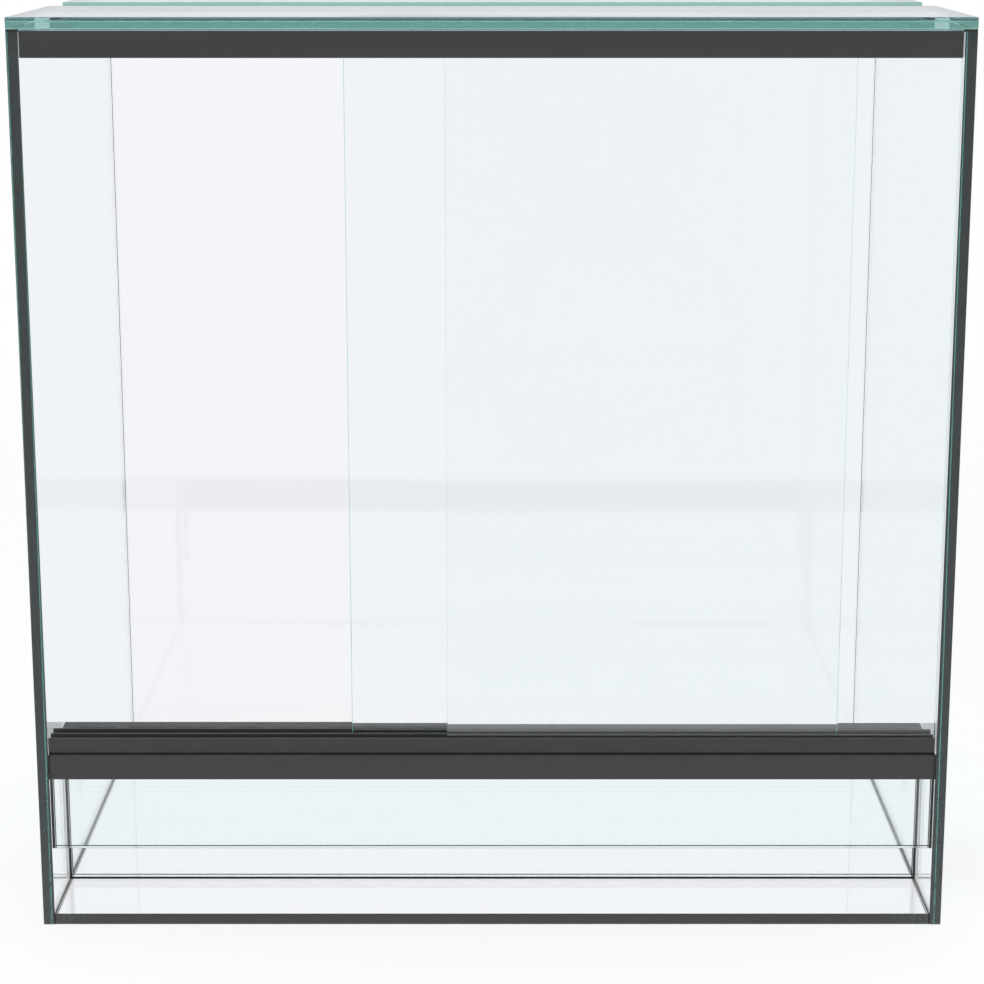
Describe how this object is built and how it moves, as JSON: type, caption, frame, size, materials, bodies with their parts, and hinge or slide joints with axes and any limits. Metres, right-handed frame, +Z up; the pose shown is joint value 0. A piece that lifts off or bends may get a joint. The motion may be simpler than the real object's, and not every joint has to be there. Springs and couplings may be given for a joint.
{
  "type": "glass terrarium cabinet",
  "caption": "All-glass terrarium box with sliding glass doors in channel rails, a vented sill over a set-back lower window and a slotted roof vent.",
  "frame": {"origin": "middle of the footprint, on the surface the cabinet stands on", "axes": "+X to the right seen from the front, +Y to the back, +Z up; the doors are on the -Y side"},
  "size_m": [0.5, 0.3, 0.5],
  "materials": {
    "float_glass": "clear float glass with ground arrises",
    "door_glass": "clear float glass with polished edges",
    "black_silicone": "cured black silicone, slightly glossy",
    "rail_plastic": "extruded dark grey plastic, satin",
    "sill_coating": "dark grey powder coat on folded sheet",
    "tape_foam": "black foam tape, matt",
    "clear_tape": "clear double-sided tape that takes on the glass's green"
  },
  "bodies": {
    "box": {"left_side_panel": "float_glass", "right_side_panel": "float_glass", "back_panel": "float_glass", "bottom_panel": "float_glass", "roof_front_pane": "float_glass", "roof_rear_pane": "float_glass", "lower_window": "float_glass", "apron_glass": "float_glass", "sill_profile": "sill_coating", "roof_vent_strip": "sill_coating", "lower_door_rail": "rail_plastic", "upper_door_rail": "rail_plastic", "floor_left_joint": "black_silicone", "floor_right_joint": "black_silicone", "floor_back_joint": "black_silicone", "back_left_joint": "black_silicone", "back_right_joint": "black_silicone", "roof_front_left_joint": "black_silicone", "roof_front_right_joint": "black_silicone", "roof_rear_left_joint": "black_silicone", "roof_rear_right_joint": "black_silicone", "roof_back_joint": "black_silicone", "window_left_joint": "black_silicone", "window_right_joint": "black_silicone", "window_foot_joint": "black_silicone", "window_head_joint": "black_silicone", "apron_left_joint": "black_silicone", "apron_right_joint": "black_silicone", "sill_left_joint": "black_silicone", "sill_right_joint": "black_silicone", "apron_tape": "tape_foam", "lower_rail_tape": "tape_foam", "upper_rail_tape": "clear_tape", "roof_vent_front_tape": "clear_tape", "roof_vent_rear_tape": "clear_tape"},
    "left_door": {"left_door": "door_glass"},
    "right_door": {"right_door": "door_glass"}
  },
  "joints": [
    {"name": "left_door_slide", "type": "slide", "parent": "box", "child": "left_door", "axis": [1, 0, 0], "range_m": [-0.166, 0.0527]},
    {"name": "right_door_slide", "type": "slide", "parent": "box", "child": "right_door", "axis": [1, 0, 0], "range_m": [-0.2187, 0]}
  ]
}
